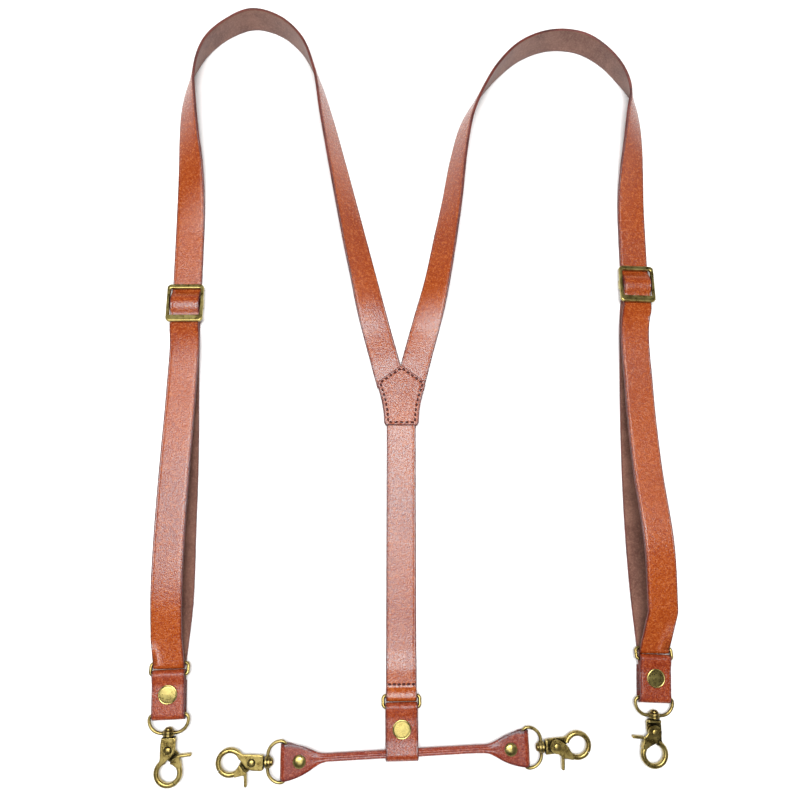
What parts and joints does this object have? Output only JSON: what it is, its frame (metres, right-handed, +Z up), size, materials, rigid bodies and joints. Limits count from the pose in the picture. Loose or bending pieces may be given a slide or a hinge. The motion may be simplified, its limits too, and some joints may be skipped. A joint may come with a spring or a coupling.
{
  "type": "suspenders",
  "caption": "Y-back leather suspenders with slide adjusters, snap tabs, a rolled cross strap and swivel trigger hooks, laid flat.",
  "frame": {"origin": "middle of the yoke's underside, on the surface the suspenders lie on", "axes": "+Y from the yoke towards the shoulder loops, +X to the right with the grain side up, +Z up from the surface"},
  "size_m": [0.3468, 0.5348, 0.025],
  "materials": {
    "strap_leather": "satin",
    "tab_leather": "satin",
    "thread": "matt",
    "antique_brass": "antique",
    "spring_steel": "plain"
  },
  "bodies": {
    "harness": {"shoulder_strap_left": "strap_leather", "shoulder_strap_right": "strap_leather", "back_strap": "strap_leather", "back_strap_stitching": "thread", "yoke_patch": "tab_leather", "yoke_backing": "tab_leather", "yoke_stitching": "thread"},
    "slide_left": {"slide_left": "antique_brass", "strap_end_stitching_left": "thread"},
    "ring_left": {"oval_ring_left": "antique_brass"},
    "slide_right": {"slide_right": "antique_brass", "strap_end_stitching_right": "thread"},
    "ring_right": {"oval_ring_right": "antique_brass"},
    "ring_centre": {"oval_ring_centre": "antique_brass"},
    "tab_left": {"snap_tab_left": "tab_leather", "snap_cap_left": "antique_brass", "snap_socket_left": "antique_brass"},
    "flap_left": {"snap_tab_flap_left": "tab_leather", "snap_stud_left": "antique_brass", "snap_post_left": "antique_brass"},
    "tab_right": {"snap_tab_right": "tab_leather", "snap_cap_right": "antique_brass", "snap_socket_right": "antique_brass"},
    "flap_right": {"snap_tab_flap_right": "tab_leather", "snap_stud_right": "antique_brass", "snap_post_right": "antique_brass"},
    "tab_centre": {"snap_tab_centre": "tab_leather", "snap_cap_centre": "antique_brass", "snap_socket_centre": "antique_brass"},
    "flap_centre": {"snap_tab_flap_centre": "tab_leather", "snap_stud_centre": "antique_brass", "snap_post_centre": "antique_brass"},
    "d_ring_front_left": {"d_ring_front_left": "antique_brass"},
    "hook_front_left": {"hook_body_front_left": "antique_brass", "swivel_pin_front_left": "antique_brass", "hook_rivet_front_left": "antique_brass", "hook_spring_front_left": "spring_steel"},
    "lever_front_left": {"hook_lever_front_left": "antique_brass"},
    "d_ring_front_right": {"d_ring_front_right": "antique_brass"},
    "hook_front_right": {"hook_body_front_right": "antique_brass", "swivel_pin_front_right": "antique_brass", "hook_rivet_front_right": "antique_brass", "hook_spring_front_right": "spring_steel"},
    "lever_front_right": {"hook_lever_front_right": "antique_brass"},
    "cross_strap": {"cross_strap": "tab_leather", "cross_rivet_left": "antique_brass", "cross_rivet_right": "antique_brass"},
    "d_ring_cross_left": {"d_ring_cross_left": "antique_brass"},
    "hook_cross_left": {"hook_body_cross_left": "antique_brass", "swivel_pin_cross_left": "antique_brass", "hook_rivet_cross_left": "antique_brass", "hook_spring_cross_left": "spring_steel"},
    "lever_cross_left": {"hook_lever_cross_left": "antique_brass"},
    "d_ring_cross_right": {"d_ring_cross_right": "antique_brass"},
    "hook_cross_right": {"hook_body_cross_right": "antique_brass", "swivel_pin_cross_right": "antique_brass", "hook_rivet_cross_right": "antique_brass", "hook_spring_cross_right": "spring_steel"},
    "lever_cross_right": {"hook_lever_cross_right": "antique_brass"}
  },
  "joints": [
    {"name": "adjuster_left", "type": "slide", "parent": "harness", "child": "slide_left", "axis": [0, -1, 0], "range_m": [-0.05, 0.15], "deforming": ["shoulder_strap_left"]},
    {"name": "loop_shift_left", "type": "slide", "parent": "slide_left", "child": "ring_left", "axis": [0, -1, 0], "range_m": [-0.075, 0.025]},
    {"name": "adjuster_right", "type": "slide", "parent": "harness", "child": "slide_right", "axis": [0, -1, 0], "range_m": [-0.05, 0.15], "deforming": ["shoulder_strap_right"]},
    {"name": "loop_shift_right", "type": "slide", "parent": "slide_right", "child": "ring_right", "axis": [0, -1, 0], "range_m": [-0.075, 0.025]},
    {"name": "ring_swing_centre", "type": "hinge", "parent": "harness", "child": "ring_centre", "pos_m": [-0.0001, -0.19819, 0.0036], "axis": [-1, 0, 0], "range_deg": [0, 40]},
    {"name": "tab_swing_left", "type": "hinge", "parent": "ring_left", "child": "tab_left", "pos_m": [-0.1497, -0.1834, 0.00559], "axis": [-0.9994, -0.0349, 0], "range_deg": [-30, 60]},
    {"name": "snap_flap_left", "type": "hinge", "parent": "tab_left", "child": "flap_left", "pos_m": [-0.14886, -0.20747, 0.00175], "axis": [-0.9994, -0.0349, 0], "range_deg": [0, 75]},
    {"name": "tab_swing_right", "type": "hinge", "parent": "ring_right", "child": "tab_right", "pos_m": [0.1679, -0.1766, 0.00559], "axis": [-0.9988, 0.0488, 0], "range_deg": [-30, 60]},
    {"name": "snap_flap_right", "type": "hinge", "parent": "tab_right", "child": "flap_right", "pos_m": [0.16672, -0.20065, 0.00175], "axis": [-0.9988, 0.0488, 0], "range_deg": [0, 75]},
    {"name": "tab_swing_centre", "type": "hinge", "parent": "ring_centre", "child": "tab_centre", "pos_m": [-0.0001, -0.2049, 0.00559], "axis": [-0.9999, -0.0105, 0], "range_deg": [-30, 60]},
    {"name": "snap_flap_centre", "type": "hinge", "parent": "tab_centre", "child": "flap_centre", "pos_m": [0.00019, -0.23258, 0.00085], "axis": [-0.9999, -0.0105, 0], "range_deg": [0, 75]},
    {"name": "d_ring_swing_front_left", "type": "hinge", "parent": "tab_left", "child": "d_ring_front_left", "pos_m": [-0.14885, -0.20788, 0.00433], "axis": [-0.9994, -0.0349, 0], "range_deg": [-80, 80]},
    {"name": "hook_swivel_front_left", "type": "hinge", "parent": "d_ring_front_left", "child": "hook_front_left", "pos_m": [-0.14845, -0.21908, 0.00433], "axis": [0.0349, -0.9994, 0], "continuous": true},
    {"name": "lever_press_front_left", "type": "hinge", "parent": "hook_front_left", "child": "lever_front_left", "pos_m": [-0.1481, -0.22917, 0.00433], "axis": [0, 0, 1], "range_deg": [0, 22], "stiffness_Nm_per_rad": 0.03, "springref_deg": -22.92},
    {"name": "d_ring_swing_front_right", "type": "hinge", "parent": "tab_right", "child": "d_ring_front_right", "pos_m": [0.1667, -0.20107, 0.00433], "axis": [-0.9988, 0.0488, 0], "range_deg": [-80, 80]},
    {"name": "hook_swivel_front_right", "type": "hinge", "parent": "d_ring_front_right", "child": "hook_front_right", "pos_m": [0.16616, -0.21226, 0.00433], "axis": [-0.0488, -0.9988, 0], "continuous": true},
    {"name": "lever_press_front_right", "type": "hinge", "parent": "hook_front_right", "child": "lever_front_right", "pos_m": [0.16566, -0.22234, 0.00433], "axis": [0, 0, -1], "range_deg": [0, 22], "stiffness_Nm_per_rad": 0.03, "springref_deg": -22.92},
    {"name": "cross_strap_shift", "type": "slide", "parent": "tab_centre", "child": "cross_strap", "axis": [0.9992, 0.0394, 0], "range_m": [-0.01, 0.02]},
    {"name": "d_ring_swing_cross_left", "type": "hinge", "parent": "cross_strap", "child": "d_ring_cross_left", "pos_m": [-0.074, -0.2371, 0.0049], "axis": [0, 1, 0], "range_deg": [-80, 80]},
    {"name": "hook_swivel_cross_left", "type": "hinge", "parent": "d_ring_cross_left", "child": "hook_cross_left", "pos_m": [-0.0852, -0.2371, 0.0049], "axis": [-1, 0, 0], "continuous": true},
    {"name": "lever_press_cross_left", "type": "hinge", "parent": "hook_cross_left", "child": "lever_cross_left", "pos_m": [-0.0953, -0.2371, 0.0049], "axis": [0, 0, 1], "range_deg": [0, 22], "stiffness_Nm_per_rad": 0.03, "springref_deg": -22.92},
    {"name": "d_ring_swing_cross_right", "type": "hinge", "parent": "cross_strap", "child": "d_ring_cross_right", "pos_m": [0.0792, -0.2309, 0.0049], "axis": [0.0349, -0.9994, 0], "range_deg": [-80, 80]},
    {"name": "hook_swivel_cross_right", "type": "hinge", "parent": "d_ring_cross_right", "child": "hook_cross_right", "pos_m": [0.09039, -0.23051, 0.0049], "axis": [0.9994, 0.0349, 0], "continuous": true},
    {"name": "lever_press_cross_right", "type": "hinge", "parent": "hook_cross_right", "child": "lever_cross_right", "pos_m": [0.10049, -0.23016, 0.0049], "axis": [0, 0, -1], "range_deg": [0, 22], "stiffness_Nm_per_rad": 0.03, "springref_deg": -22.92}
  ],
  "couplings": [
    {"joint": "loop_shift_left", "follows": "adjuster_left", "ratio": -0.5},
    {"joint": "loop_shift_right", "follows": "adjuster_right", "ratio": -0.5}
  ]
}
